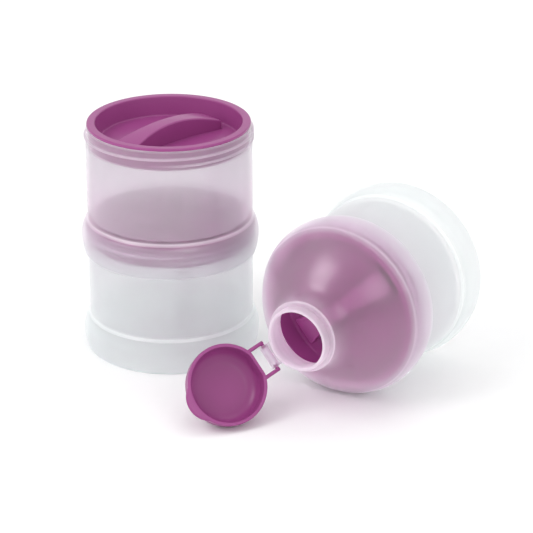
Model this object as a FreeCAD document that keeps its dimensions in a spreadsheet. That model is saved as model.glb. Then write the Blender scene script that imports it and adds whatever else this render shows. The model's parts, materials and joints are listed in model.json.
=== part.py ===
import FreeCAD, Part
import math
import os
import re

import Sketcher

# A stackable formula dispenser: two containers screwed together, and a third one lying beside them
# with a pouring dome and an open snap cap. Each piece is one moulding, drawn upright about its own
# axis and then placed. Millimetres, +Z up, origin at the centre of the stack's base ring.

DIMENSIONS = {
    # container body and its skirt, heights from the skirt's lower edge
    "BodyRadius": 35.4,
    "SkirtRadius": 38.0,
    "SkirtFootRadius": 36.9,
    "SkirtFootRound": 0.3,
    "SkirtWidestHeight": 7.65,
    "SkirtTopHeight": 15.3,
    "SkirtUpperArc": 12.55,
    "SkirtLowerArc": 24.3,
    "SocketRadius": 36.35,
    "SocketHeight": 12.0,
    "SocketTopRadius": 35.4,
    "SocketTopHeight": 13.0,
    "FloorUnderside": 14.2,
    "FloorTop": 15.6,
    "CornerRound": 2.0,
    "BoreRadius": 34.0,
    "NeckRadius": 35.0,
    "NeckFoot": 48.6,
    "MouthHeight": 56.3,
    "MouthRound": 0.35,
    "StackPitch": 43.7,
    # the screw thread on every neck and in every skirt
    "ThreadPitch": 3.0,
    "ThreadDepth": 1.05,
    "ThreadRoot": 0.4,
    "ThreadBaseWidth": 1.5,
    "ThreadCrestWidth": 0.5,
    "NeckThreadStart": 49.9,
    "NeckThreadTurns": 1.6,
    "SocketThreadTurns": 1.0,
    # sealing lid, heights from the bottom of its plug
    "LidRimRadius": 34.75,
    "LidRimRound": 0.5,
    "LidRimThickness": 1.2,
    "LidSeat": 0.05,
    "PlugRadius": 33.7,
    "PlugDepth": 8.8,
    "BeadRadius": 33.88,
    "BeadHeight": 2.2,
    "BeadHalfWidth": 0.7,
    "RecessRadius": 31.25,
    "RecessFootRadius": 30.1,
    "RecessFootHeight": 2.2,
    "LidFloor": 1.4,
    "GripWidth": 7.0,
    "GripFootWidth": 12.0,
    "GripHeight": 8.6,
    "GripEndHeight": 3.6,
    "GripHalfSpan": 25.5,
    "GripWall": 1.3,
    # pouring dome, heights from its skirt's lower edge
    "DomeCreaseHeight": 13.9,
    "DomeArc": 50.0,
    "DomeArcStart": 28.0,
    "SweepArc": 12.0,
    "NeckOuterRadius": 14.1,
    "DomeWall": 1.4,
    "CollarRadius": 15.1,
    "CollarBase": 42.2,
    "CollarThickness": 1.6,
    "CollarRound": 0.5,
    "CollarFlat": 14.3,
    "SpoutRadius": 13.3,
    "SpoutBore": 12.0,
    "SpoutTop": 47.6,
    "SpoutRound": 0.45,
    "LugWidth": 10.4,
    "LugThickness": 2.2,
    "LugInnerReach": 12.0,
    "EyeRadius": 1.8,
    "EyeBore": 1.1,
    # snap cap, heights from its rim
    "CapRimHeight": 39.5,
    "CapRadius": 16.9,
    "CapInnerRadius": 15.5,
    "CapCornerCentreRadius": 10.0,
    "CapCornerCentreHeight": 4.1,
    "CapInnerCorner": 5.5,
    "CapWall": 1.1,
    "CapRimBand": 2.0,
    "CapRimRound": 0.3,
    "CapClear": 0.35,
    "CapFlat": 16.0,
    "CapInnerFlat": 14.8,
    "CapFlatHeight": 6.8,
    "TabRadius": 9.6,
    "TabReach": 19.2,
    "TabThickness": 1.7,
    "HingeReach": 22.0,
    "HingeHeight": 0.8,
    "ArmRadius": 0.8,
    "ArmOffset": 6.35,
    "ArmLength": 7.9,
    "PinRadius": 0.8,
    "PinLength": 2.45,
    # where the lying unit is, and how its dome and cap are turned
    "StackSpin": -58.0,
    "LidLowerSpin": 15.0,
    "LidUpperSpin": 76.0,
    "UnitX": 89.0,
    "UnitBaseY": 47.0,
    "LugBelowLevel": 40.0,
    "CapOpening": 120.0,
}

doc = FreeCAD.newDocument("formula_dispenser")


def make_sheet():
    """Writes the driving dimensions into the document's spreadsheet, one alias per row."""
    page = doc.addObject("Spreadsheet::Sheet", "Dimensions")
    for row, (alias, number) in enumerate(DIMENSIONS.items(), start=1):
        page.set("A%d" % row, alias)
        page.set("B%d" % row, str(number))
        page.setAlias("B%d" % row, alias)
    doc.recompute()
    return page


sheet = make_sheet()


def size(formula):
    """The value of a formula over the spreadsheet's aliases."""
    return float(sheet.evalExpression(formula))


def bound(formula):
    """The same formula as an expression that another object can be bound to."""
    return re.sub(r"[A-Z]\w+", lambda word: "Dimensions." + word.group(0), formula)


def plane_of(body, role):
    """One of the body's own origin planes, such as XZ_Plane."""
    return next(f for f in body.Origin.OriginFeatures if f.Role == role)


def make_body(name):
    """An empty PartDesign body whose label names its node and its file."""
    body = doc.addObject("PartDesign::Body", name)
    body.Label = name
    return body


def new_sketch(body, role, name):
    """A sketch on one of the body's origin planes."""
    sketch = body.newObject("Sketcher::SketchObject", name)
    sketch.AttachmentSupport = (plane_of(body, role), [""])
    sketch.MapMode = "FlatFace"
    return sketch


def pin(sketch, kind, axis, geometry, end, formula):
    """Fixes one coordinate of a vertex to a formula over the spreadsheet."""
    value = size(formula)
    if abs(value) < 1e-9:
        sketch.addConstraint(Sketcher.Constraint("PointOnObject", geometry, end, axis))
        return
    if value > 0:
        rule = Sketcher.Constraint(kind, -1, 1, geometry, end, value)
        text = formula
    else:
        rule = Sketcher.Constraint(kind, geometry, end, -1, 1, -value)
        text = "-(%s)" % formula
    sketch.setExpression("Constraints[%d]" % sketch.addConstraint(rule), bound(text))


def arc_between(first, second, radius, turn):
    """The shorter arc between two points, turning left or right on its way."""
    chord = second - first
    middle = (first + second) * 0.5
    normal = FreeCAD.Vector(-chord.y, chord.x, 0).normalize()
    offset = math.sqrt(max(radius**2 - (chord.Length / 2) ** 2, 0))
    centre = middle + normal * (offset if turn == "left" else -offset)
    circle = Part.Circle(centre, FreeCAD.Vector(0, 0, 1), radius)
    angles = [math.atan2(p.y - centre.y, p.x - centre.x) for p in (first, second)]
    if turn == "right":
        angles.reverse()
    return Part.ArcOfCircle(circle, angles[0], angles[1])


def draw(sketch, corners):
    """Draws a closed outline. A corner is (x, y), or (x, y, turn, radius) where an arc leaves it."""
    points = [FreeCAD.Vector(size(c[0]), size(c[1]), 0) for c in corners]
    starts, ends = [], []
    for index, corner in enumerate(corners):
        here, there = points[index], points[(index + 1) % len(points)]
        if len(corner) == 2:
            geometry = sketch.addGeometry(Part.LineSegment(here, there))
            start, end = 1, 2
        else:
            arc = arc_between(here, there, size(corner[3]), corner[2])
            geometry = sketch.addGeometry(arc)
            start, end = (1, 2) if corner[2] == "left" else (2, 1)
        starts.append((geometry, start))
        ends.append((geometry, end))
    for index, (geometry, start) in enumerate(starts):
        sketch.addConstraint(Sketcher.Constraint("Coincident", *ends[index - 1], geometry, start))
        pin(sketch, "DistanceX", -2, geometry, start, corners[index][0])
        pin(sketch, "DistanceY", -1, geometry, start, corners[index][1])
    for index, corner in enumerate(corners):
        if len(corner) == 4:
            radius = Sketcher.Constraint("Radius", starts[index][0], size(corner[3]))
            sketch.setExpression("Constraints[%d]" % sketch.addConstraint(radius), bound(corner[3]))


def circle_at(sketch, x, y, radius):
    """Draws a circle whose centre and radius are formulas over the spreadsheet."""
    centre = FreeCAD.Vector(size(x), size(y), 0)
    shape = Part.Circle(centre, FreeCAD.Vector(0, 0, 1), size(radius))
    geometry = sketch.addGeometry(shape)
    pin(sketch, "DistanceX", -2, geometry, 3, x)
    pin(sketch, "DistanceY", -1, geometry, 3, y)
    rule = Sketcher.Constraint("Radius", geometry, size(radius))
    sketch.setExpression("Constraints[%d]" % sketch.addConstraint(rule), bound(radius))


def revolve(body, name, corners):
    """Turns an outline, drawn as radius and height, about the body's own axis."""
    sketch = new_sketch(body, "XZ_Plane", name + "_outline")
    draw(sketch, corners)
    feature = body.newObject("PartDesign::Revolution", name)
    feature.Profile = sketch
    feature.ReferenceAxis = (sketch, ["V_Axis"])
    feature.Angle = 360
    doc.recompute()
    return feature


def extrude(body, kind, name, role, length, draw_outline, midplane=False, reverse=False):
    """Pads or pockets the outline that draw_outline draws on a plane, by a bound length."""
    sketch = new_sketch(body, role, name + "_outline")
    draw_outline(sketch)
    feature = body.newObject("PartDesign::" + kind, name)
    feature.Profile = sketch
    feature.Length = size(length)
    feature.setExpression("Length", bound(length))
    feature.Midplane = midplane
    feature.Reversed = reverse
    doc.recompute()
    return feature


def raise_sketch(feature, height):
    """Lifts a feature's sketch off its plane to a bound height."""
    sketch = feature.Profile[0]
    sketch.setExpression("AttachmentOffset.Base.z", bound(height))
    doc.recompute()


def thread(body, name, wall, crest, start, turns):
    """Winds a trapezoid ridge around the body's axis, rooted in the wall and rising from start."""
    sketch = new_sketch(body, "XZ_Plane", name + "_outline")
    base, top = "ThreadBaseWidth / 2", "ThreadCrestWidth / 2"
    corners = [
        (wall, "%s - %s" % (start, base)),
        (crest, "%s - %s" % (start, top)),
        (crest, "%s + %s" % (start, top)),
        (wall, "%s + %s" % (start, base)),
    ]
    draw(sketch, corners)
    ridge = body.newObject("PartDesign::AdditiveHelix", name)
    ridge.Profile = sketch
    ridge.ReferenceAxis = (sketch, ["V_Axis"])
    ridge.Mode = "pitch-turns-angle"
    ridge.setExpression("Pitch", bound("ThreadPitch"))
    ridge.setExpression("Turns", bound(turns))
    doc.recompute()
    return ridge


def skirt_inside():
    """The threaded socket inside a skirt, from its narrow top down to its foot."""
    return [
        ("SocketTopRadius", "SocketTopHeight"),
        ("SocketRadius", "SocketHeight"),
        ("SocketRadius", "0"),
    ]


def skirt_outside():
    """The bulged outside of a skirt, from its foot up to its widest line."""
    return [
        ("SkirtFootRadius - SkirtFootRound", "0", "left", "SkirtFootRound"),
        ("SkirtFootRadius", "SkirtFootRound", "left", "SkirtLowerArc"),
        ("SkirtRadius", "SkirtWidestHeight", "left", "SkirtUpperArc"),
    ]


def socket_thread(body):
    """The ridge inside a skirt, half a pitch above the neck ridge that it runs on."""
    start = "(NeckThreadStart - StackPitch + ThreadPitch / 2)"
    wall = "SocketRadius + ThreadRoot"
    crest = "SocketRadius - ThreadDepth"
    return thread(body, "socket_thread", wall, crest, start, "SocketThreadTurns")


def make_container(name):
    """A container: threaded skirt, floor, straight body and threaded neck, in one moulding."""
    body = make_body(name)
    corners = [("0", "FloorUnderside"), ("SocketTopRadius", "FloorUnderside")]
    corners += skirt_inside() + skirt_outside()
    corners += [
        ("BodyRadius", "SkirtTopHeight"),
        ("BodyRadius", "NeckFoot - (BodyRadius - NeckRadius)"),
        ("NeckRadius", "NeckFoot"),
        ("NeckRadius", "MouthHeight - MouthRound", "left", "MouthRound"),
        ("NeckRadius - MouthRound", "MouthHeight"),
        ("BoreRadius + MouthRound / 2", "MouthHeight"),
        ("BoreRadius", "MouthHeight - MouthRound / 2"),
        ("BoreRadius", "FloorTop + CornerRound", "right", "CornerRound"),
        ("BoreRadius - CornerRound", "FloorTop"),
        ("0", "FloorTop"),
    ]
    revolve(body, "wall", corners)
    neck_wall = "NeckRadius - ThreadRoot"
    neck_crest = "NeckRadius + ThreadDepth"
    thread(body, "neck_thread", neck_wall, neck_crest, "NeckThreadStart", "NeckThreadTurns")
    socket_thread(body)
    return body


def make_lid(name):
    """A sealing lid: a hollow plug under a flat rim, with an arched grip bar across its recess."""
    body = make_body(name)
    top = "PlugDepth + LidRimThickness"
    foot = "RecessFootHeight - LidFloor"
    revolve(body, "plug", [
        ("0", "0"),
        ("PlugRadius - LidRimRound", "0"),
        ("PlugRadius", "LidRimRound"),
        ("PlugRadius", "BeadHeight - BeadHalfWidth"),
        ("BeadRadius", "BeadHeight"),
        ("PlugRadius", "BeadHeight + BeadHalfWidth"),
        ("PlugRadius", "PlugDepth"),
        ("LidRimRadius", "PlugDepth"),
        ("LidRimRadius", top + " - LidRimRound", "left", "LidRimRound"),
        ("LidRimRadius - LidRimRound", top),
        ("RecessRadius + LidRimRound", top, "left", "LidRimRound"),
        ("RecessRadius", top + " - LidRimRound"),
        ("RecessFootRadius", "RecessFootHeight", "right", foot),
        ("RecessFootRadius - (%s)" % foot, "LidFloor"),
        ("0", "LidFloor"),
    ])
    grip_side = arch_outline("0", "LidFloor / 2")
    extrude(body, "Pad", "grip", "XZ_Plane", "GripFootWidth", grip_side, midplane=True)
    for side in ("1", "-1"):
        waist = extrude(body, "Pocket", "waist_%s" % ("left" if side == "1" else "right"),
                        "XY_Plane", "GripHeight + 1", waist_outline(side), reverse=True)
        raise_sketch(waist, "LidFloor")
    hollow = arch_outline("GripWall", "-GripWall")
    extrude(body, "Pocket", "grip_hollow", "XZ_Plane", "GripWidth - 2 * GripWall", hollow,
            midplane=True)
    return body


def arch_outline(inset, low):
    """Draws the side view of the grip bar, smaller by inset: a foot at height low, an arched top."""
    half_span = "(GripHalfSpan - %s)" % inset
    end = "(LidFloor + GripEndHeight - %s)" % inset
    rise = "(GripHeight - GripEndHeight)"
    radius = "(%s^2 + %s^2) / (2 * %s)" % (half_span, rise, rise)

    def outline(sketch):
        draw(sketch, [
            (half_span, end, "left", radius),
            ("-" + half_span, end),
            ("-" + half_span, low),
            (half_span, low),
        ])

    return outline


def waist_outline(side):
    """Draws the lens cut off one side of the grip bar, where fingers take hold of it."""
    reach = "(GripHalfSpan - 2)"
    dip = "((GripFootWidth - GripWidth) / 2)"
    radius = "(%s^2 + %s^2) / (2 * %s)" % (reach, dip, dip)
    edge = "%s * GripFootWidth / 2" % side

    def outline(sketch):
        draw(sketch, [
            ("-" + reach, edge, "left" if side == "1" else "right", radius),
            (reach, edge),
        ])

    return outline


# The dome's outline: a convex arc from the crease above the skirt, then a concave sweep into the neck.
CREASE_RADIUS = ("(SkirtRadius - SkirtUpperArc"
                 " + sqrt(SkirtUpperArc^2 - (DomeCreaseHeight - SkirtWidestHeight)^2))")
DOME_X = "(%s - DomeArc * cos(DomeArcStart))" % CREASE_RADIUS
DOME_Z = "(DomeCreaseHeight - DomeArc * sin(DomeArcStart))"
SWEEP_X = "(NeckOuterRadius + SweepArc)"
SWEEP_Z = "(%s + sqrt((DomeArc + SweepArc)^2 - (%s - %s)^2))" % (DOME_Z, SWEEP_X, DOME_X)


def dome_turn(radius):
    """Where an arc of this radius about the dome's centre meets the sweep that leads to the neck."""
    share = "%s / (DomeArc + SweepArc)" % radius
    across = "%s + %s * (%s - %s)" % (DOME_X, share, SWEEP_X, DOME_X)
    up = "%s + %s * (%s - %s)" % (DOME_Z, share, SWEEP_Z, DOME_Z)
    return across, up


def make_dome(name):
    """The pouring dome: a container's skirt, the dome, the spout with its collar, and the lug."""
    body = make_body(name)
    collar_top = "CollarBase + CollarThickness"
    neck = "%s - sqrt(SweepArc^2 - (%s - CollarBase)^2)" % (SWEEP_X, SWEEP_Z)
    corners = [("0", "0")] + skirt_outside()
    corners += [
        (CREASE_RADIUS, "DomeCreaseHeight", "left", "DomeArc"),
        dome_turn("DomeArc") + ("right", "SweepArc"),
        (neck, "CollarBase"),
        ("CollarRadius - CollarRound", "CollarBase", "left", "CollarRound"),
        ("CollarRadius", "CollarBase + CollarRound"),
        ("CollarRadius", collar_top + " - CollarRound", "left", "CollarRound"),
        ("CollarRadius - CollarRound", collar_top),
        ("SpoutRadius", collar_top),
        ("SpoutRadius", "SpoutTop - SpoutRound", "left", "SpoutRound"),
        ("SpoutRadius - SpoutRound", "SpoutTop"),
        ("0", "SpoutTop"),
    ]
    revolve(body, "outside", corners)
    add_lug(body)
    hollow_dome(body)
    socket_thread(body)
    return body


def add_lug(body):
    """The lug beside the neck: a plate with an eye at its end, and a flat on the collar above it."""
    hinge = "CapRimHeight + HingeHeight"
    top = "CapRimHeight - CapClear"

    def collar_flat(sketch):
        draw(sketch, [
            ("-CollarFlat", "LugWidth"),
            ("-CollarFlat - 2", "LugWidth"),
            ("-CollarFlat - 2", "-LugWidth"),
            ("-CollarFlat", "-LugWidth"),
        ])

    def plate(sketch):
        draw(sketch, [
            ("-LugInnerReach", top),
            ("-HingeReach", top),
            ("-HingeReach", top + " - LugThickness"),
            ("-LugInnerReach", top + " - LugThickness"),
        ])

    flat = extrude(body, "Pocket", "collar_flat", "XY_Plane", "CollarThickness", collar_flat,
                   reverse=True)
    raise_sketch(flat, "CollarBase")
    extrude(body, "Pad", "lug_plate", "XZ_Plane", "LugWidth", plate, midplane=True)
    for kind, feature, radius in (("Pad", "lug_eye", "EyeRadius"), ("Pocket", "lug_bore", "EyeBore")):
        extrude(body, kind, feature, "XZ_Plane", "LugWidth",
                lambda sketch, r=radius: circle_at(sketch, "-HingeReach", hinge, r), midplane=True)


def hollow_dome(body):
    """Cuts the socket, the inside of the dome and the bore of the spout, all in one outline."""
    arc = "(DomeArc - DomeWall)"
    start = "SocketTopHeight + 0.5"
    sketch = new_sketch(body, "XZ_Plane", "hollow_outline")
    draw(sketch, [
        ("0", "-1"),
        ("SocketRadius", "-1"),
        ("SocketRadius", "SocketHeight"),
        ("SocketTopRadius", "SocketTopHeight"),
        ("%s + sqrt(%s^2 - (%s - %s)^2)" % (DOME_X, arc, start, DOME_Z), start, "left", arc),
        dome_turn(arc) + ("right", "SweepArc + DomeWall"),
        ("NeckOuterRadius - DomeWall", SWEEP_Z),
        ("SpoutBore", SWEEP_Z + " + DomeWall"),
        ("SpoutBore", "SpoutTop + 1"),
        ("0", "SpoutTop + 1"),
    ])
    groove = body.newObject("PartDesign::Groove", "hollow")
    groove.Profile = sketch
    groove.ReferenceAxis = (sketch, ["V_Axis"])
    groove.Angle = 360
    doc.recompute()


def make_cap(name):
    """The snap cap: a bowl with a rim band, flat towards its hinge, two arms, pins and a tab."""
    body = make_body(name)
    corner = "CapInnerCorner"
    outer_corner = "CapInnerCorner + CapWall"
    inner_top = "CapCornerCentreHeight + CapInnerCorner"
    revolve(body, "bowl", [
        ("CapInnerRadius", "0"),
        ("CapRadius - CapRimRound", "0", "left", "CapRimRound"),
        ("CapRadius", "CapRimRound"),
        ("CapRadius", "CapRimBand - CapRimRound"),
        ("CapCornerCentreRadius + " + outer_corner, "CapRimBand"),
        ("CapCornerCentreRadius + " + outer_corner, "CapCornerCentreHeight", "left", outer_corner),
        ("CapCornerCentreRadius", "%s + CapWall" % inner_top),
        ("0", "%s + CapWall" % inner_top),
        ("0", inner_top),
        ("CapCornerCentreRadius", inner_top, "right", corner),
        ("CapInnerRadius", "CapCornerCentreHeight"),
    ])
    add_cap_flat(body)
    add_thumb_tab(body)
    add_arms(body)
    return body


def add_cap_flat(body):
    """Flattens the bowl towards the hinge, inside and outside."""
    seat = "(CapInnerRadius + CapWall / 2)"
    half = "sqrt(%s^2 - CapInnerFlat^2)" % seat
    wide = "CapFlat / 2"

    def inner_flat(sketch):
        draw(sketch, [
            ("-CapInnerFlat", half, "left", seat),
            ("-CapInnerFlat", "-(%s)" % half),
        ])

    def outer_flat(sketch):
        draw(sketch, [
            ("-CapFlat", wide),
            ("-CapFlat - 2", wide),
            ("-CapFlat - 2", "-" + wide),
            ("-CapFlat", "-" + wide),
        ])

    extrude(body, "Pad", "inner_flat", "XY_Plane", "CapFlatHeight", inner_flat)
    extrude(body, "Pocket", "outer_flat", "XY_Plane", "CapFlatHeight + 1", outer_flat, reverse=True)


def add_thumb_tab(body):
    """The crescent that stands out of the rim opposite the hinge, for a thumb to lift."""
    seat = "(CapInnerRadius + CapWall / 2)"
    across = "(%s^2 / (2 * (TabReach - TabRadius)) + (TabReach / 2 - TabRadius))" % seat
    half = "sqrt(%s^2 - %s^2)" % (seat, across)

    def outline(sketch):
        draw(sketch, [
            (across, "-" + half, "left", "TabRadius"),
            (across, half, "right", seat),
        ])

    extrude(body, "Pad", "thumb_tab", "XY_Plane", "TabThickness", outline)


def add_arms(body):
    """The two arms that reach from the rim to the hinge, each with a pin turned inwards."""
    for side, label in (("1", "left"), ("-1", "right")):
        arm = extrude(body, "Pad", "arm_" + label, "YZ_Plane", "ArmLength",
                      lambda sketch, s=side: circle_at(sketch, s + " * ArmOffset", "HingeHeight",
                                                       "ArmRadius"))
        raise_sketch(arm, "-(HingeReach + ArmRadius)")
        hinge_pin = extrude(body, "Pad", "pin_" + label, "XZ_Plane", "PinLength",
                            lambda sketch: circle_at(sketch, "-HingeReach", "HingeHeight",
                                                     "PinRadius"),
                            reverse=side == "-1")
        raise_sketch(hinge_pin, "-(%s) * ArmOffset" % side)


def upright(spin, height):
    """A placement on the stack's axis, turned by spin and raised to a height."""
    turn = FreeCAD.Rotation(FreeCAD.Vector(0, 0, 1), size(spin))
    return FreeCAD.Placement(FreeCAD.Vector(0, 0, size(height)), turn)


def lying(reach):
    """A placement on the lying unit's axis: local Z points to -Y, and the lug side points down."""
    across = FreeCAD.Rotation(FreeCAD.Vector(1, 0, 0), 90)
    tilt = FreeCAD.Rotation(FreeCAD.Vector(0, 1, 0), -size("LugBelowLevel"))
    base = FreeCAD.Vector(size("UnitX"), size("UnitBaseY") - size(reach), size("SkirtRadius"))
    return FreeCAD.Placement(base, tilt.multiply(across))


def cap_placement():
    """The cap's place when open: swung by CapOpening about the pins in the dome's lug."""
    hinge = FreeCAD.Vector(-size("HingeReach"), 0, size("HingeHeight"))
    swing = FreeCAD.Rotation(FreeCAD.Vector(0, -1, 0), size("CapOpening"))
    opened = FreeCAD.Placement(hinge, FreeCAD.Rotation())
    opened = opened.multiply(FreeCAD.Placement(FreeCAD.Vector(), swing))
    opened = opened.multiply(FreeCAD.Placement(-hinge, FreeCAD.Rotation()))
    return lying("StackPitch + CapRimHeight").multiply(opened)


def build_parts():
    """Makes every piece at its place in the displayed arrangement."""
    lid_seat = "MouthHeight + LidSeat - PlugDepth"
    plan = [
        (make_container, "container_lower", upright("StackSpin", "0")),
        (make_lid, "lid_lower", upright("LidLowerSpin", lid_seat)),
        (make_container, "container_upper", upright("StackSpin", "StackPitch")),
        (make_lid, "lid_upper", upright("LidUpperSpin", "StackPitch + " + lid_seat)),
        (make_container, "container_pouring", lying("0")),
        (make_lid, "lid_pouring", lying(lid_seat)),
        (make_dome, "pouring_dome", lying("StackPitch")),
        (make_cap, "spout_cap", cap_placement()),
    ]
    bodies = []
    for make, name, placement in plan:
        body = make(name)
        body.Placement = placement
        bodies.append(body)
    doc.recompute()
    return bodies


def check_and_write(bodies):
    """Stops on any broken feature or shape, then writes one STEP file per piece."""
    for item in doc.Objects:
        if {"Invalid", "Error"} & set(item.State):
            raise RuntimeError("%s did not compute: %s" % (item.Name, item.State))
    os.makedirs("parts", exist_ok=True)
    for body in bodies:
        shape = body.Shape
        if shape.isNull() or not shape.isValid() or len(shape.Solids) != 1:
            raise RuntimeError("%s is not one valid solid" % body.Label)
        shape.exportStep("parts/%s.step" % body.Label)
        print(body.Label, "%.0f mm3" % shape.Volume, shape.BoundBox)


check_and_write(build_parts())
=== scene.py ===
"""A stackable formula dispenser in frosted and magenta plastic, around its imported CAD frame.

Two containers stand screwed together; a third lies beside them with its pouring dome on and the
cap of the spout hanging open. Every piece is rebuilt here on the sizes of its CAD node, with its
moulded roundings, and replaces that node. A piece is drawn in mm about its own upright axis, with
its foot or rim at height 0, and is then put where its CAD node is.
"""

import json
import math

import bmesh
import bpy
from mathutils import Matrix, Vector


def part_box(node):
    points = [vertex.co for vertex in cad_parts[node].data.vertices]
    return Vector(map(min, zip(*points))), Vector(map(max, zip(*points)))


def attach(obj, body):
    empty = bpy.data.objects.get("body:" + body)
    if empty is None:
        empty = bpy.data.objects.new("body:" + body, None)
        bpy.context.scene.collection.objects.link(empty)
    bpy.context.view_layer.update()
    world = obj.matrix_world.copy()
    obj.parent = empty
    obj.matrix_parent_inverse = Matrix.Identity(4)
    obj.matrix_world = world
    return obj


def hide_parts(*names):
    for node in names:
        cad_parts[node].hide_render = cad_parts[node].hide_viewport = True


MM = 0.001
LATHE_STEPS = 192
ROD_SIDES = 24
ARC_STEP = math.radians(9)
QUARTER = math.pi / 2

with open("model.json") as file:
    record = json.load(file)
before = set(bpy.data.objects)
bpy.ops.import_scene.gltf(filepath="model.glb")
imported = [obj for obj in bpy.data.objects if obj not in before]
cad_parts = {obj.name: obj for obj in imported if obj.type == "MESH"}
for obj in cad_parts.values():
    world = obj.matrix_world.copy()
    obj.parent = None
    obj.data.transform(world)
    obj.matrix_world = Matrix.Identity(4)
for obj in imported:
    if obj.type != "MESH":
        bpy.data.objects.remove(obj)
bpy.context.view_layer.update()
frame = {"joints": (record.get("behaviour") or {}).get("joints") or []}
scene = bpy.context.scene


# ---------------------------------------------------------------- curves


def swept(centre, start, end, steps):
    """Points round centre from start to end, two spokes of the same length, both ends in."""
    sweep = math.atan2(start.x * end.y - start.y * end.x, start.dot(end))
    points = []
    for k in range(steps + 1):
        t = sweep * k / steps
        c, s = math.cos(t), math.sin(t)
        points.append(centre + Vector((start.x * c - start.y * s, start.x * s + start.y * c)))
    return points


def arc(first, last, radius, steps, side=1):
    """Points of the shorter arc from first to last, both ends in; side 1 bows it outwards."""
    a, b = Vector(first), Vector(last)
    chord = b - a
    normal = Vector((chord.y, -chord.x)).normalized() * side
    sag = math.sqrt(radius ** 2 - (chord.length / 2) ** 2)
    centre = (a + b) / 2 - normal * sag
    return swept(centre, a - centre, b - centre, steps)


def rounded(corners):
    """A polyline through corners given as (radius, height, fillet), with the fillets on it.

    Fillets that meet on one edge share its length in the ratio of their radii.
    """
    points = []
    for i, (x, y, fillet) in enumerate(corners):
        here = Vector((x, y))
        if fillet == 0:
            points.append(here)
            continue
        before = Vector(corners[i - 1][:2]) - here
        after = Vector(corners[i + 1][:2]) - here
        a, b = before.normalized(), after.normalized()
        turn = math.pi - a.angle(b)
        room = [edge.length * 0.999 * fillet / (fillet + neighbour[2])
                for edge, neighbour in ((before, corners[i - 1]), (after, corners[i + 1]))]
        reach = min(fillet * math.tan(turn / 2), *room)
        radius = reach / math.tan(turn / 2)
        centre = here + (a + b).normalized() * math.hypot(radius, reach)
        steps = max(2, math.ceil(turn / ARC_STEP))
        points += swept(centre, here + a * reach - centre, here + b * reach - centre, steps)
    return points


def run(radius, low, high, step=0.12):
    """Evenly spaced points up or down a straight wall, close enough to carry a thread."""
    count = max(1, round(abs(high - low) / step))
    return [Vector((radius, low + (high - low) * k / count)) for k in range(count + 1)]


def clamped(value):
    """The value, held between 0 and 1."""
    return min(1.0, max(0.0, value))


def eased(share):
    """A share from 0 to 1, with soft ends."""
    return share * share * (3 - 2 * share)


def bump_up(value, middle, reach):
    """1 at the middle, falling to 0 at reach away from it."""
    return max(0.0, 1.0 - abs(value - middle) / reach)


# ---------------------------------------------------------------- meshes


def lathe(bm, profile, steps=LATHE_STEPS, shape=None):
    """Turns a profile about Z and closes it. A point at radius 0 becomes a pole.

    shape takes a vertex and its place along the profile, and says where the vertex goes.
    """
    rings = []
    for index, (r, z) in enumerate(profile):
        if r < 1e-6:
            rings.append([bm.verts.new((0, 0, z * MM))])
            continue
        ring = []
        for k in range(steps):
            t = 2 * math.pi * k / steps
            co = Vector((r * math.cos(t), r * math.sin(t), z))
            if shape:
                co = shape(co, index)
            ring.append(bm.verts.new(co * MM))
        rings.append(ring)
    for low, high in zip(rings, rings[1:] + rings[:1]):
        if len(low) == 1 and len(high) == 1:
            continue
        for k in range(steps):
            n = (k + 1) % steps
            if len(low) == 1:
                bm.faces.new((low[0], high[k], high[n]))
            elif len(high) == 1:
                bm.faces.new((low[n], low[k], high[0]))
            else:
                bm.faces.new((low[k], high[k], high[n], low[n]))


def strip(bm, sections):
    """Skins a run of closed cross-sections, each a list of points, and caps the two ends."""
    rings = [[bm.verts.new(Vector(p) * MM) for p in section] for section in sections]
    for first, second in zip(rings, rings[1:]):
        for k in range(len(first)):
            n = (k + 1) % len(first)
            bm.faces.new((first[k], first[n], second[n], second[k]))
    bm.faces.new(list(reversed(rings[0])))
    bm.faces.new(rings[-1])


def rod(bm, start, end, radius):
    """A straight round rod with softly rounded ends."""
    a, b = Vector(start), Vector(end)
    along = (b - a).normalized()
    side = along.orthogonal().normalized()
    other = along.cross(side)
    length = (b - a).length
    edge = radius * 0.45
    stops = [(0.0, radius - edge)]
    for k in range(1, 5):
        t = QUARTER * k / 4
        stops.append((edge * (1 - math.cos(t)), radius - edge + edge * math.sin(t)))
    stops += [(length - d, r) for d, r in reversed(stops)]
    sections = []
    for d, r in stops:
        ring = []
        for k in range(ROD_SIDES):
            t = 2 * math.pi * k / ROD_SIDES
            ring.append(a + along * d + side * (r * math.cos(t)) + other * (r * math.sin(t)))
        sections.append(ring)
    strip(bm, sections)


def make_object(name, bm, matrix, material, smooth=35):
    """Turns a bmesh into a shaded object placed by a matrix, its normals facing out."""
    bmesh.ops.recalc_face_normals(bm, faces=bm.faces)
    mesh = bpy.data.meshes.new(name)
    bm.to_mesh(mesh)
    bm.free()
    obj = bpy.data.objects.new(name, mesh)
    scene.collection.objects.link(obj)
    mesh.transform(matrix)
    mesh.materials.append(material)
    mesh.shade_smooth()
    mesh.set_sharp_from_angle(angle=math.radians(smooth))
    return obj


# ---------------------------------------------------------------- shader nodes


def new_material(name):
    """An empty node material with its Principled shader, and its nodes and links."""
    material = bpy.data.materials.new(name)
    material.use_nodes = True
    tree = material.node_tree
    return material, tree.nodes, tree.links, tree.nodes["Principled BSDF"]


def noise(nodes, links, coords, scale, detail):
    """A noise texture over object coordinates; scale is in features per metre."""
    node = nodes.new("ShaderNodeTexNoise")
    node.inputs["Scale"].default_value = scale
    node.inputs["Detail"].default_value = detail
    links.new(coords.outputs["Object"], node.inputs["Vector"])
    return node.outputs["Fac"]


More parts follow.
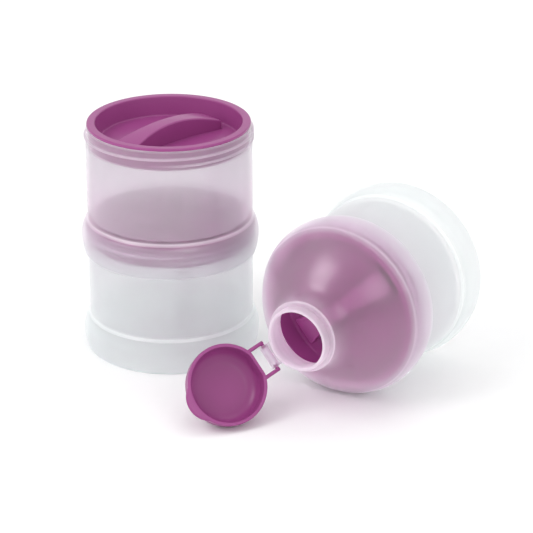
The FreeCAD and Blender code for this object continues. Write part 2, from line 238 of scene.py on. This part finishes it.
def mapped(nodes, links, source, low, high, start=0.0, end=1.0):
    """A value spread between low and high as the source goes from start to end."""
    node = nodes.new("ShaderNodeMapRange")
    node.inputs["From Min"].default_value = start
    node.inputs["From Max"].default_value = end
    node.inputs["To Min"].default_value = low
    node.inputs["To Max"].default_value = high
    links.new(source, node.inputs["Value"])
    return node.outputs["Result"]


def drifting(nodes, links, coords, scale, detail, low, high):
    """A value that wanders between low and high over the surface."""
    return mapped(nodes, links, noise(nodes, links, coords, scale, detail), low, high, 0.3, 0.7)


def tinted(nodes, links, factor, first, second):
    """A colour that goes from first, a colour or a socket, to second as factor goes up to 1."""
    node = nodes.new("ShaderNodeMix")
    node.data_type = "RGBA"
    if isinstance(first, tuple):
        node.inputs["A"].default_value = (*first, 1)
    else:
        links.new(first, node.inputs["A"])
    node.inputs["B"].default_value = (*second, 1)
    links.new(factor, node.inputs["Factor"])
    return node.outputs["Result"]


def attribute(nodes, name):
    """The mesh's own grading of that name."""
    node = nodes.new("ShaderNodeAttribute")
    node.attribute_name = name
    return node.outputs["Fac"]


def facing(nodes, blend):
    """0 where the surface faces the sight line, towards 1 at the outline."""
    node = nodes.new("ShaderNodeLayerWeight")
    node.inputs["Blend"].default_value = blend
    return node.outputs["Facing"]


def calculated(nodes, links, operation, first, second):
    """The result of a sum on a socket and a second one or a number."""
    node = nodes.new("ShaderNodeMath")
    node.operation = operation
    links.new(first, node.inputs[0])
    if isinstance(second, float):
        node.inputs[1].default_value = second
    else:
        links.new(second, node.inputs[1])
    return node.outputs[0]


def layered(nodes, links, share, first, second):
    """Shows share of the second shader over the first; share is a number or a socket."""
    mix = nodes.new("ShaderNodeMixShader")
    if isinstance(share, float):
        mix.inputs["Fac"].default_value = share
    else:
        links.new(share, mix.inputs["Fac"])
    links.new(first, mix.inputs[1])
    links.new(second, mix.inputs[2])
    return mix.outputs["Shader"]


def grained(nodes, links, shader, coords, scale, strength):
    """The fine grain of the mould, and a soft waviness of the moulded wall."""
    add = nodes.new("ShaderNodeMath")
    add.operation = "MULTIPLY_ADD"
    add.inputs[1].default_value = 0.8
    links.new(noise(nodes, links, coords, 60, 1), add.inputs[0])
    links.new(noise(nodes, links, coords, scale, 2), add.inputs[2])
    bump = nodes.new("ShaderNodeBump")
    bump.inputs["Strength"].default_value = strength
    bump.inputs["Distance"].default_value = 0.0001
    links.new(add.outputs[0], bump.inputs["Height"])
    links.new(bump.outputs["Normal"], shader.inputs["Normal"])


# ---------------------------------------------------------------- materials

PLASTIC_IOR = 1.49
CLEAR_TINT = (0.98, 0.99, 0.99)
# Painted light: the pink of the light that a magenta lid throws into a frosted wall, painted into the
# wall's colour.
PAINTED_LID_LIGHT_COLOUR = (0.97, 0.83, 0.94)


def frosted_plastic(name, clear, clear_edge, blur, glow):
    """Natural polypropylene with a milky wall: partly seen through, partly glowing from behind.

    clear and clear_edge are the shares that pass one face of the wall, face on and at the outline,
    where the sight line runs a longer way in the plastic. blur is how much of that is blurred. glow
    is how much of the milkiness lets light through instead of sending it back. The mesh's thick
    attribute, from 0 to 1, makes lips, ridges and rings milkier, and its painted_lid_light attribute
    paints into the wall's colour, and into its blurred see-through share, the pink light that a lid
    close by throws into it: painted light, which stays on the wall when the lid is taken away.
    """
    material, nodes, links, shader = new_material(name)
    coords = nodes.new("ShaderNodeTexCoord")
    drift = drifting(nodes, links, coords, 45, 3, 0, 1)
    white = tinted(nodes, links, drift, (0.91, 0.955, 0.955), (0.94, 0.97, 0.965))
    # Painted light: the pink light of a lid close by, painted into the wall's colour as the mesh's
    # attribute says.
    painted_lid_light = attribute(nodes, "painted_lid_light")
    tint = tinted(nodes, links, painted_lid_light, white, PAINTED_LID_LIGHT_COLOUR)
    links.new(tint, shader.inputs["Base Color"])
    links.new(drifting(nodes, links, coords, 400, 2, 0.3, 0.36), shader.inputs["Roughness"])
    shader.inputs["IOR"].default_value = PLASTIC_IOR
    grained(nodes, links, shader, coords, 260, 0.08)
    lit = nodes.new("ShaderNodeBsdfTranslucent")
    links.new(tint, lit.inputs["Color"])
    milky = layered(nodes, links, glow, shader.outputs["BSDF"], lit.outputs["BSDF"])

    straight = nodes.new("ShaderNodeBsdfTransparent")
    straight.inputs["Color"].default_value = (*CLEAR_TINT, 1)
    blurred = nodes.new("ShaderNodeBsdfGlass")
    # Painted light: the blurred see-through share is tinted with the same painted pink lid light.
    links.new(tinted(nodes, links, painted_lid_light, CLEAR_TINT, PAINTED_LID_LIGHT_COLOUR), blurred.inputs["Color"])
    blurred.inputs["Roughness"].default_value = 1.0
    blurred.inputs["IOR"].default_value = 1.06
    through = layered(nodes, links, blur, straight.outputs["BSDF"], blurred.outputs["BSDF"])

    share = mapped(nodes, links, facing(nodes, 0.25), clear, clear_edge)
    thin = mapped(nodes, links, attribute(nodes, "thick"), 1.0, 0.25)
    seen = layered(nodes, links, calculated(nodes, links, "MULTIPLY", share, thin), milky, through)

    sheen = nodes.new("ShaderNodeBsdfGlossy")
    sheen.inputs["Color"].default_value = (1, 1, 1, 1)
    sheen.inputs["Roughness"].default_value = 0.28
    steep = calculated(nodes, links, "POWER", facing(nodes, 0.5), 4.0)
    glossy = layered(nodes, links, mapped(nodes, links, steep, 0.045, 0.4), seen, sheen.outputs["BSDF"])
    links.new(glossy, nodes["Material Output"].inputs["Surface"])
    return material


def magenta_plastic():
    """Pigmented polypropylene, satin from the mould, with a little colour drift."""
    material, nodes, links, shader = new_material("magenta_plastic")
    coords = nodes.new("ShaderNodeTexCoord")
    drift = drifting(nodes, links, coords, 60, 4, 0, 1)
    tint = tinted(nodes, links, drift, (0.29, 0.052, 0.207), (0.31, 0.058, 0.222))
    links.new(tint, shader.inputs["Base Color"])
    links.new(drifting(nodes, links, coords, 500, 2, 0.3, 0.34), shader.inputs["Roughness"])
    shader.inputs["IOR"].default_value = PLASTIC_IOR
    shader.inputs["Specular IOR Level"].default_value = 0.4
    grained(nodes, links, shader, coords, 700, 0.05)
    return material


def floor_paper():
    """Matt white paper sweep."""
    material, nodes, links, shader = new_material("floor_paper")
    coords = nodes.new("ShaderNodeTexCoord")
    drift = drifting(nodes, links, coords, 30, 5, 0, 1)
    links.new(tinted(nodes, links, drift, (0.93,) * 3, (0.95,) * 3), shader.inputs["Base Color"])
    shader.inputs["Roughness"].default_value = 0.9
    shader.inputs["Specular IOR Level"].default_value = 0.1
    return material


FROSTED = frosted_plastic("frosted_plastic", 0.84, 0.2, 0.35, 0.8)
FROSTED_FLOOR = frosted_plastic("frosted_plastic_floor", 0.86, 0.72, 0.6, 0.25)
DOME_FROSTED = frosted_plastic("frosted_plastic_thin", 0.96, 0.4, 0.55, 0.6)
MAGENTA = magenta_plastic()


# ---------------------------------------------------------------- where things are

joints = {joint["name"]: joint for joint in frame["joints"]}
LUG_BELOW_LEVEL = math.radians(40)
LYING = Matrix.Rotation(-LUG_BELOW_LEVEL, 4, "Y") @ Matrix.Rotation(QUARTER, 4, "X")


def standing_at(node, spin):
    """The frame of an upright piece: the middle of its box, on the box's underside."""
    low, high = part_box(node)
    centre = (low + high) / 2
    place = Matrix.Translation((round(centre.x, 3), round(centre.y, 3), low.z))
    return place @ Matrix.Rotation(math.radians(spin), 4, "Z")


def lying_at(node):
    """The frame of a lying piece: its axis along -Y, starting from the box's far side."""
    low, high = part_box(node)
    centre = (low + high) / 2
    return Matrix.Translation((centre.x, high.y, centre.z)) @ LYING


# ---------------------------------------------------------------- sealing lids

LID_FLOOR = 1.4
LID_PROFILE = [
    (0, 0, 0), (33.7, 0, 0.6), (33.7, 1.5, 0.4), (33.88, 2.2, 0.5), (33.7, 2.9, 0.4),
    (33.7, 8.8, 0.15), (34.75, 8.8, 0.2), (34.75, 10.0, 0.5), (31.25, 10.0, 0.6),
    (30.1, LID_FLOOR, 0.8), (0, LID_FLOOR, 0),
]
GRIP_HALF_SPAN, GRIP_TOP, GRIP_END = 25.5, 8.6, 3.6
GRIP_HALF_WAIST, GRIP_HALF_FOOT, GRIP_FOOT_LENGTH = 3.5, 6.0, 2
GRIP_EDGE = 0.8
GRIP_SUNK = 0.4
GRIP_STATIONS = 64


def grip_section(u):
    """The cross-section of the grip bar at u mm from its middle, with a rounded top and ends."""
    rise = GRIP_TOP - GRIP_END
    arch = (GRIP_HALF_SPAN ** 2 + rise ** 2) / (2 * rise)
    height = math.sqrt(arch ** 2 - u ** 2) - (arch - GRIP_TOP)
    dip = GRIP_HALF_FOOT - GRIP_HALF_WAIST
    reach = GRIP_HALF_SPAN - GRIP_FOOT_LENGTH
    bow = (reach ** 2 + dip ** 2) / (2 * dip)
    half = GRIP_HALF_FOOT
    if abs(u) < reach:
        half = GRIP_HALF_WAIST + bow - math.sqrt(bow ** 2 - u ** 2)
    left = GRIP_HALF_SPAN - abs(u)
    if left < GRIP_EDGE:
        trim = GRIP_EDGE - math.sqrt(max(0.0, GRIP_EDGE ** 2 - (GRIP_EDGE - left) ** 2))
        half, height = half - trim, height - trim
    outline = [(half, -GRIP_SUNK), (half, height * 0.5)]
    for k in range(7):
        t = QUARTER * k / 6
        outline.append((half - GRIP_EDGE * (1 - math.cos(t)), height - GRIP_EDGE * (1 - math.sin(t))))
    outline += [(-x, z) for x, z in reversed(outline)]
    return [(u, x, LID_FLOOR + z) for x, z in outline]


def make_lid(name, node, body, matrix):
    """A sealing lid: the plug with its recess, and the arched grip bar standing in the recess."""
    bm = bmesh.new()
    lathe(bm, rounded(LID_PROFILE))
    turns = [QUARTER * (2 * k / GRIP_STATIONS - 1) for k in range(GRIP_STATIONS + 1)]
    strip(bm, [grip_section(GRIP_HALF_SPAN * math.sin(t)) for t in turns])
    obj = make_object(name, bm, matrix, MAGENTA)
    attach(obj, body)
    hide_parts(node)


make_lid("lower_sealing_lid", "lid_lower", "stack_inner_lid", standing_at("lid_lower", 15))
make_lid("upper_sealing_lid", "lid_upper", "stack_top_lid", standing_at("lid_upper", 76))
make_lid("pouring_sealing_lid", "lid_pouring", "lying_inner_lid", lying_at("lid_pouring"))


# ---------------------------------------------------------------- snap cap

CAP_OPENING = math.radians(120)
HINGE_REACH, HINGE_HEIGHT = 22.0, 0.8
CAP_FLAT, CAP_INNER_FLAT = 16.0, 14.8
CAP_INNER_RIM = 15.81
CAP_PROFILE = [
    (0, 9.6, 0), (15.5, 9.6, 5.5), (15.5, 0, 0.3), (16.9, 0, 0.3), (16.9, 2.0, 0.3),
    (16.6, 2.0, 0.1), (16.6, 10.7, 6.6), (0, 10.7, 0),
]
TAB_CENTRE, TAB_RADIUS, TAB_SEAT, TAB_THICK, TAB_EDGE = 9.6, 9.6, 16.0, 1.7, 0.75
TAB_HALF_STATIONS = 24
ARM_RADIUS, ARM_SIDE, ARM_TIP, ARM_ROOT, PIN_LENGTH = 0.8, 6.35, -22.8, -14.9, 2.45


def add_tab(bm):
    """The thumb tab: a plate with a round edge, between the bowl's rim and a smaller circle."""
    cross = TAB_SEAT ** 2 / (2 * TAB_CENTRE)
    half_angle = math.atan2(math.sqrt(TAB_SEAT ** 2 - cross ** 2), cross - TAB_CENTRE)
    sections = []
    for k in range(-TAB_HALF_STATIONS, TAB_HALF_STATIONS + 1):
        t = half_angle * k / TAB_HALF_STATIONS
        tip = Vector((TAB_CENTRE + TAB_RADIUS * math.cos(t), TAB_RADIUS * math.sin(t)))
        direction = tip.normalized()
        root = direction * TAB_SEAT
        edge = min(TAB_EDGE, max((tip - root).length, 0.02) * 0.9)
        ring = [(root.x, root.y, 0.02), (root.x, root.y, TAB_THICK)]
        for j in range(9):
            a = math.pi * (0.5 - j / 8)
            p = tip - direction * edge * (1 - math.cos(a))
            ring.append((p.x, p.y, TAB_THICK / 2 + (TAB_THICK / 2 - 0.01) * math.sin(a)))
        sections.append(ring)
    strip(bm, sections)


def make_cap():
    """The snap cap: a bowl flattened towards its hinge, a thumb tab, two arms and their pins."""
    bm = bmesh.new()
    profile = rounded(CAP_PROFILE)
    first_outside = next(i for i, point in enumerate(profile) if point.x > CAP_INNER_RIM)

    def flattened(co, index):
        limit = CAP_INNER_FLAT if index < first_outside else CAP_FLAT
        return Vector((max(co.x, -limit), co.y, co.z))

    lathe(bm, profile, shape=flattened)
    add_tab(bm)
    for side in (1, -1):
        arm = side * ARM_SIDE
        rod(bm, (ARM_TIP, arm, HINGE_HEIGHT), (ARM_ROOT, arm, HINGE_HEIGHT), ARM_RADIUS)
        rod(bm, (-HINGE_REACH, arm, HINGE_HEIGHT),
            (-HINGE_REACH, arm - side * PIN_LENGTH, HINGE_HEIGHT), ARM_RADIUS)
    hinge = Vector(joints["cap_hinge"]["pos_m"])
    pivot = Vector((-HINGE_REACH, 0, HINGE_HEIGHT)) * MM
    turn = LYING @ Matrix.Rotation(CAP_OPENING, 4, Vector((0, -1, 0)))
    matrix = Matrix.Translation(hinge) @ turn @ Matrix.Translation(-pivot)
    cap = make_object("spout_snap_cap", bm, matrix, MAGENTA)
    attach(cap, "cap")
    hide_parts("spout_cap")


make_cap()


# ---------------------------------------------------------------- screw ridges and skirts

PITCH, RIDGE, RIDGE_BASE, RIDGE_CREST = 3.0, 1.05, 0.85, 0.25
NECK_THREAD = (49.9, 1.6, 1)
SOCKET_THREAD = (7.7, 1.0, -1)
RUN_OUT = 0.07
NECK_WALL, SOCKET_WALL = 35.0, 36.35
SKIRT = [(36.6, 0.0), (36.9, 0.3), (38.0, 7.65), (35.4, 15.3)]
SOCKET_TOP, FOOT_REACH = 12.5, 0.7


def ridge(angle, z, thread):
    """How far the screw ridge stands out of its wall at an angle and a height."""
    start, turns, side = thread
    share = (angle / (2 * math.pi)) % 1.0
    best = 0.0
    for whole in range(-1, math.ceil(turns) + 1):
        turn = share + whole
        if not -RUN_OUT < turn < turns + RUN_OUT:
            continue
        off = abs(z - start - PITCH * turn)
        rise = clamped((RIDGE_BASE - off) / (RIDGE_BASE - RIDGE_CREST))
        fade = clamped(min(turn + RUN_OUT, turns + RUN_OUT - turn) / (2 * RUN_OUT))
        best = max(best, eased(rise) * eased(fade))
    return best * RIDGE * side


def on_wall(co, radius):
    """Whether a vertex is on a straight wall of that radius."""
    return abs(math.hypot(co.x, co.y) - radius) < 1e-3


def threaded(co, radius, thread):
    """A vertex of a straight wall, moved out or in by the screw ridge that runs there."""
    angle = math.atan2(co.y, co.x)
    radius += ridge(angle, co.z, thread)
    return Vector((radius * math.cos(angle), radius * math.sin(angle), co.z))


def skirt_outside():
    """The bulged outside of a skirt, from its foot ring up to the crease above it."""
    foot = arc(SKIRT[0], SKIRT[1], 0.3, 4)
    lower = arc(SKIRT[1], SKIRT[2], 24.3, 14)
    upper = arc(SKIRT[2], SKIRT[3], 12.55, 20)
    return foot + lower[1:] + upper[1:]


def socket_inside(top):
    """The wall of a skirt's socket, from its narrow top down to the foot ring."""
    return [Vector((35.4, top))] + run(SOCKET_WALL, 12.0, 0.15) + [Vector((36.5, 0.0))]


def socket_mark(r, z):
    """How thick the plastic is at the socket's screw ridge, from 0 to 1."""
    return clamped((SOCKET_WALL - 0.05 - r) / 0.9) if z < SOCKET_TOP else 0.0


def finish_frosted(name, bm, matrix, node, body, plastic, thickness, painted_light_by_height):
    """Makes a frosted piece for its CAD node; thickness grades a point (r, z), and
    painted_light_by_height says by height how much painted pink lid light goes into the wall.
    """
    obj = make_object(name, bm, matrix, plastic, smooth=50)
    for kind in ("thick", "painted_lid_light"):
        obj.data.attributes.new(kind, "FLOAT", "POINT")
    thick, painted_lid_light = (obj.data.attributes[kind].data for kind in ("thick", "painted_lid_light"))
    back = matrix.inverted()
    for vertex in obj.data.vertices:
        x, y, z = (back @ vertex.co) / MM
        thick[vertex.index].value = thickness(math.hypot(x, y), z)
        # Painted light: the pink lid light painted into the wall, graded by height.
        painted_lid_light[vertex.index].value = painted_light_by_height(z)
    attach(obj, body)
    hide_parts(node)
    return obj


# ---------------------------------------------------------------- containers

BORE, WALL = 34.0, 35.4
FLOOR_LOW, FLOOR_HIGH = 14.2, 15.6
NECK_FOOT, MOUTH = 48.5, 56.3
STACK_SPIN = -58


def container_thickness(r, z):
    """Where a container's plastic is thick: lip, screw ridges, neck foot, skirt crease, foot."""
    marks = [bump_up(z, MOUTH, 1.0), bump_up(z, 0.0, FOOT_REACH), socket_mark(r, z)]
    if r > BORE + 0.2:
        marks += [bump_up(z, NECK_FOOT, 0.6) * 0.6, bump_up(z, SKIRT[3][1], 1.2) * 0.8]
    if z > NECK_FOOT + 0.5:
        marks.append(clamped((r - NECK_WALL - 0.1) / 0.8))
    return max(marks)


def neck_painted_light(z):
    """How much painted pink lid light goes into a container wall's colour near its own lid, by height.
    """
    return 0.5 * bump_up(z, 54.0, 8.0)


def stacked_painted_light(z):
    """The same painted lid light for the container above another one's lid, painted in from below too.
    """
    return max(neck_painted_light(z), 0.8 * bump_up(z, 20.0, 22.0))


def make_container(name, node, body, matrix, painted_light_by_height=neck_painted_light):
    """A container: socket skirt, floor, straight wall and threaded neck in one skin."""
    inside = [Vector((0, FLOOR_LOW)), Vector((35.0, FLOOR_LOW)), Vector((WALL, 13.8))]
    inside += socket_inside(13.0)
    outside = skirt_outside()
    outside += [Vector((WALL, z)) for z in (15.6, 16.5, 30.0, 47.9, 48.2)]
    outside += run(NECK_WALL, 48.7, 55.95)
    outside += arc((NECK_WALL, 55.95), (34.65, MOUTH), 0.35, 4)[1:]
    outside += arc((34.3, MOUTH), (BORE, 56.0), 0.3, 3)
    outside += [Vector((BORE, 36.0))] + arc((BORE, 17.6), (32.0, FLOOR_HIGH), 2.0, 8, side=-1)
    outside += [Vector((0, FLOOR_HIGH))]
    first_outside = len(inside)

    def shape(co, index):
        if index < first_outside and on_wall(co, SOCKET_WALL):
            return threaded(co, SOCKET_WALL, SOCKET_THREAD)
        if index >= first_outside and on_wall(co, NECK_WALL):
            return threaded(co, NECK_WALL, NECK_THREAD)
        return co

    bm = bmesh.new()
    lathe(bm, inside + outside, shape=shape)
    obj = finish_frosted(name, bm, matrix, node, body, FROSTED, container_thickness, painted_light_by_height)
    obj.data.materials.append(FROSTED_FLOOR)
    back = matrix.inverted()
    heights = [(back @ vertex.co).z / MM for vertex in obj.data.vertices]
    for face in obj.data.polygons:
        if all(FLOOR_LOW - 0.01 < heights[v] < FLOOR_HIGH + 0.05 for v in face.vertices):
            face.material_index = 1


make_container("lower_container", "container_lower", "stack_base",
               standing_at("container_lower", STACK_SPIN))
make_container("upper_container", "container_upper", "stack_top",
               standing_at("container_upper", STACK_SPIN), stacked_painted_light)
make_container("pouring_container", "container_pouring", "lying_container",
               lying_at("container_pouring"))


# ---------------------------------------------------------------- pouring dome

CREASE = (36.333, 13.9)
DOME_ARC, SWEEP_ARC, DOME_WALL = 50.0, 12.0, 1.4
DOME_START = math.radians(28)
DOME_CENTRE = Vector((CREASE[0] - DOME_ARC * math.cos(DOME_START),
                      CREASE[1] - DOME_ARC * math.sin(DOME_START)))
SPOUT_NECK, SPOUT_LIP, SPOUT_BORE, SPOUT_TOP = 14.1, 13.3, 12.0, 47.6
COLLAR, COLLAR_LOW, COLLAR_HIGH, COLLAR_FLAT = 15.1, 42.2, 43.8, 14.3
COLLAR_PROFILE = [
    (SPOUT_NECK, 42.35, 0), (SPOUT_NECK, COLLAR_LOW, 0), (COLLAR, COLLAR_LOW, 0.5),
    (COLLAR, COLLAR_HIGH, 0.5), (SPOUT_LIP, COLLAR_HIGH, 0.25), (SPOUT_LIP, SPOUT_TOP, 0.45),
    (SPOUT_BORE, SPOUT_TOP, 0.3), (SPOUT_BORE, 45.0, 0),
]
LUG_HALF_WIDTH, LUG_HALF_HEIGHT, LUG_HEIGHT, LUG_EDGE = 5.2, 1.1, 38.05, 0.35
LUG_STATIONS = ((-14.7, 0.0), (-21.4, 0.0), (-21.8, 0.1), (-22.0, 0.35))
EYE_REACH, EYE_HEIGHT, EYE_STEPS = 22.0, 40.3, 48
EYE_PROFILE = [
    (1.1, 0, 0), (1.1, LUG_HALF_WIDTH, 0.15), (1.8, LUG_HALF_WIDTH, 0.25),
    (1.8, -LUG_HALF_WIDTH, 0.25), (1.1, -LUG_HALF_WIDTH, 0.15), (1.1, -0.5, 0),
]


def dome_thickness(r, z):
    """Where the dome's plastic is thick: lip, collar, crease, socket ridge and foot."""
    marks = [bump_up(z, SPOUT_TOP, 1.2), bump_up(z, 0.0, FOOT_REACH), socket_mark(r, z),
             bump_up(z, CREASE[1], 0.9) * 0.8]
    if z > COLLAR_LOW - 0.1 and r > SPOUT_LIP - 0.1:
        marks.append(0.6)
    return max(marks)


def dome_painted_light(z):
    """How much painted pink lid light goes into the colour of the dome, which the lid fills, and of its
    foot.
    """
    return 0.55 if z > 3 else 0.3


def dome_curve(offset):
    """The dome's and its neck's outline, offset inwards by offset, from the crease upwards."""
    sweep_x = SPOUT_NECK + SWEEP_ARC
    reach = DOME_ARC + SWEEP_ARC
    sweep = Vector((sweep_x, DOME_CENTRE.y + math.sqrt(reach ** 2 - (sweep_x - DOME_CENTRE.x) ** 2)))
    first, second = DOME_ARC - offset, SWEEP_ARC + offset
    turn = DOME_CENTRE + (sweep - DOME_CENTRE) * (first / reach)
    start = Vector(CREASE)
    if offset:
        low = 13.5
        start = Vector((DOME_CENTRE.x + math.sqrt(first ** 2 - (low - DOME_CENTRE.y) ** 2), low))
    end = Vector((sweep_x - second, sweep.y))
    return arc(start, turn, first, 30) + arc(turn, end, second, 16, side=-1)[1:]


def add_lug(bm):
    """The cap's lug: a plate with rounded edges, and the eye that the cap's pins turn in."""
    plate = []
    for x, trim in LUG_STATIONS:
        ring = []
        for quadrant, (across, up) in enumerate(((1, 1), (-1, 1), (-1, -1), (1, -1))):
            for k in range(5):
                t = QUARTER * (quadrant + k / 4)
                y = across * (LUG_HALF_WIDTH - trim - LUG_EDGE) + LUG_EDGE * math.cos(t)
                z = LUG_HEIGHT + up * (LUG_HALF_HEIGHT - trim - LUG_EDGE) + LUG_EDGE * math.sin(t)
                ring.append((x, y, z))
        plate.append(ring)
    strip(bm, plate)
    eye = bmesh.new()
    lathe(eye, rounded(EYE_PROFILE), EYE_STEPS)
    place = Matrix.Translation(Vector((-EYE_REACH, 0, EYE_HEIGHT)) * MM)
    bmesh.ops.transform(eye, matrix=place @ Matrix.Rotation(QUARTER, 4, "X"), verts=eye.verts)
    scrap = bpy.data.meshes.new("eye")
    eye.to_mesh(scrap)
    eye.free()
    bm.from_mesh(scrap)
    bpy.data.meshes.remove(scrap)


def make_dome():
    """The pouring dome: a socket skirt, the dome, the spout with its collar, and the cap's lug."""
    skirt = [p for p in skirt_outside() if p.y < CREASE[1] - 0.1]
    outside = skirt + dome_curve(0)[:-1] + rounded(COLLAR_PROFILE)[1:]
    inside = [Vector((SPOUT_BORE, COLLAR_HIGH))] + list(reversed(dome_curve(DOME_WALL)))
    inside += socket_inside(13.1)
    first_inside = len(outside)

    def shape(co, index):
        if index >= first_inside:
            return threaded(co, SOCKET_WALL, SOCKET_THREAD) if on_wall(co, SOCKET_WALL) else co
        if COLLAR_LOW - 0.01 < co.z < COLLAR_HIGH + 0.01 and math.hypot(co.x, co.y) > SPOUT_LIP + 0.1:
            return Vector((max(co.x, -COLLAR_FLAT), co.y, co.z))
        return co

    bm = bmesh.new()
    lathe(bm, outside + inside, shape=shape)
    add_lug(bm)
    finish_frosted("pouring_dome_shell", bm, lying_at("pouring_dome"), "pouring_dome", "dome",
                   DOME_FROSTED, dome_thickness, dome_painted_light)


make_dome()


# ---------------------------------------------------------------- floor, light and camera

LIGHT_TARGET = (0.04, 0, 0.04)
CAMERA_AZIMUTH, CAMERA_ELEVATION = math.radians(31.2), math.radians(23.3)
CAMERA_DISTANCE, CAMERA_RIGHT, CAMERA_HEIGHT = 1.028, 0.0413, 0.0341


def make_floor():
    """A wide white sweep under the object."""
    bm = bmesh.new()
    bmesh.ops.create_grid(bm, x_segments=2, y_segments=2, size=6)
    floor = make_object("floor", bm, Matrix.Translation((0, 0, -0.0002)), floor_paper())


def area_light(name, place, width, height, power):
    """A soft box at a place in metres, aimed at the object."""
    data = bpy.data.lights.new(name, "AREA")
    data.shape = "RECTANGLE"
    data.size, data.size_y = width, height
    data.energy = power
    light = bpy.data.objects.new(name, data)
    light.location = place
    aim = Vector(LIGHT_TARGET) - Vector(place)
    light.rotation_euler = aim.to_track_quat("-Z", "Y").to_euler()
    scene.collection.objects.link(light)


def make_world(strength):
    """An even white surround."""
    world = bpy.data.worlds.new("surround")
    world.use_nodes = True
    background = world.node_tree.nodes["Background"]
    background.inputs["Color"].default_value = (1, 1, 1, 1)
    background.inputs["Strength"].default_value = strength
    scene.world = world


def make_camera():
    """A long lens, a little above the object and to the right of its front."""
    level = math.cos(CAMERA_ELEVATION)
    right = Vector((math.cos(CAMERA_AZIMUTH), math.sin(CAMERA_AZIMUTH), 0))
    back = Vector((math.sin(CAMERA_AZIMUTH) * level, -math.cos(CAMERA_AZIMUTH) * level,
                   math.sin(CAMERA_ELEVATION)))
    data = bpy.data.cameras.new("camera")
    data.sensor_width = 36
    data.lens = 160.2
    data.clip_start, data.clip_end = 0.05, 20
    camera = bpy.data.objects.new("camera", data)
    camera.location = right * CAMERA_RIGHT + Vector((0, 0, CAMERA_HEIGHT)) + back * CAMERA_DISTANCE
    camera.rotation_euler = (-back).to_track_quat("-Z", "Y").to_euler()
    scene.collection.objects.link(camera)
    scene.camera = camera


make_floor()
make_world(0.95)
area_light("key", (-0.5, -0.9, 1.1), 0.7, 0.7, 6)
area_light("fill", (1.1, -0.7, 0.8), 0.6, 0.6, 2)
area_light("top", (0.1, 0.3, 1.2), 0.8, 0.5, 1)
make_camera()
scene.view_settings.view_transform = "Standard"
